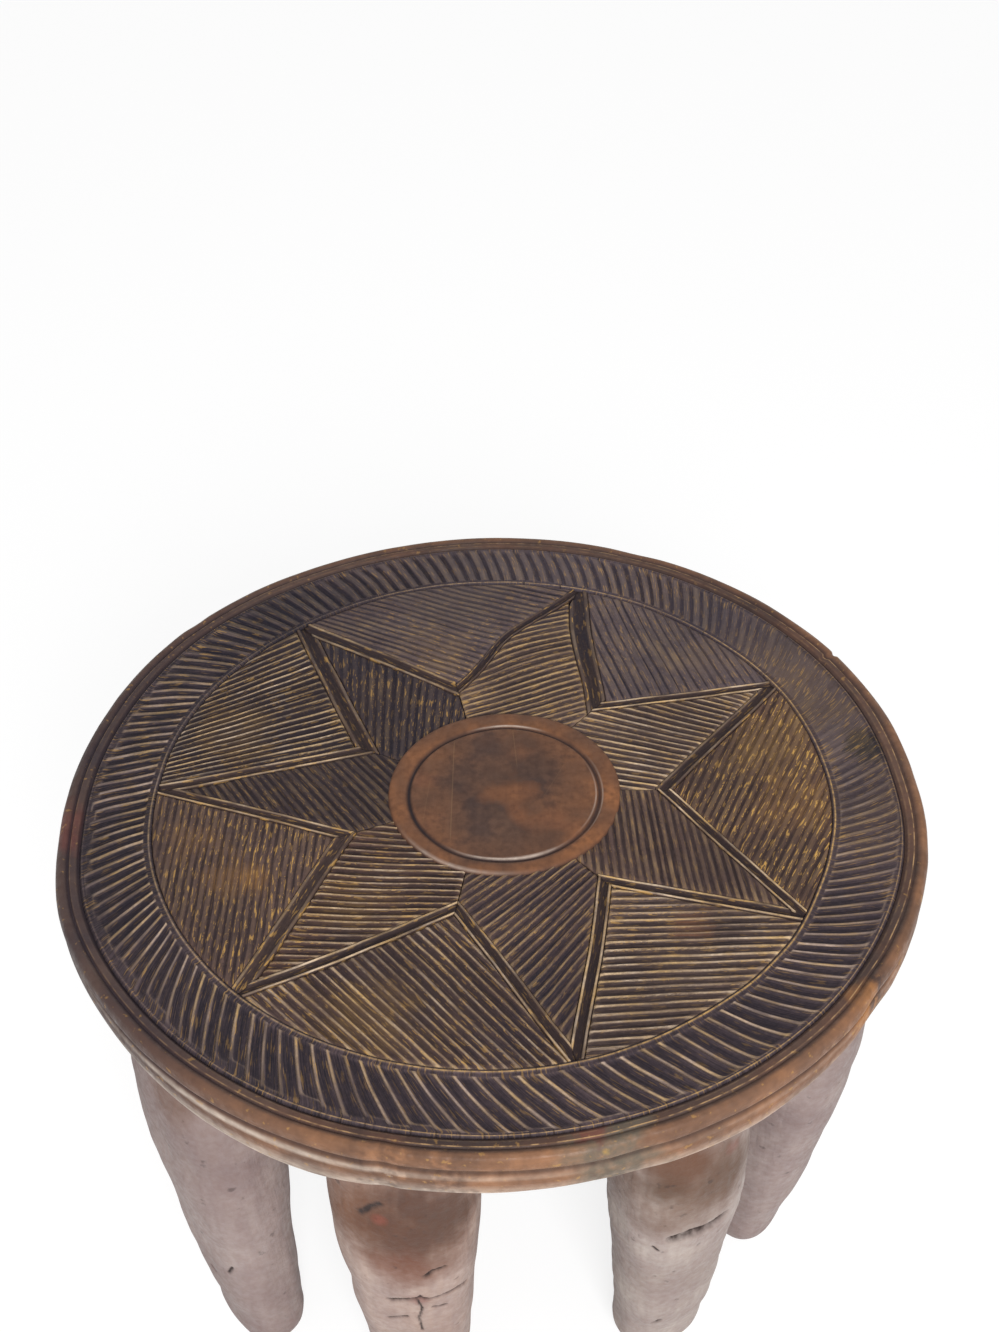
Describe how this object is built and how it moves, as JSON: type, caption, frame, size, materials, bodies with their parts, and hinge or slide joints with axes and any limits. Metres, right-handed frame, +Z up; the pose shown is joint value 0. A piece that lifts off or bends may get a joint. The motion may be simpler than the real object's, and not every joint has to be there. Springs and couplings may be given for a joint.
{
  "type": "carved wooden stool",
  "caption": "Low round stool: a dished seat incised with a pointed star, an oblique-cut border and a small boss, carried on a ring of bowed, tapering legs.",
  "frame": {"origin": "on the floor, under the middle of the round seat", "axes": "+Z up, -Y towards the front of the picture's view, +X to its right"},
  "size_m": [0.48, 0.48, 0.276],
  "materials": {
    "seat_wood": "dark handled hardwood, soot-dark cuts, rubbed ochre ridges",
    "leg_wood": "dry, dusty grey-brown hardwood"
  },
  "bodies": {
    "root": {"seat": "seat_wood", "leg_1": "leg_wood", "leg_2": "leg_wood", "leg_3": "leg_wood", "leg_4": "leg_wood", "leg_5": "leg_wood", "leg_6": "leg_wood", "leg_7": "leg_wood", "leg_8": "leg_wood", "leg_9": "leg_wood", "leg_10": "leg_wood", "leg_11": "leg_wood"}
  },
  "joints": []
}
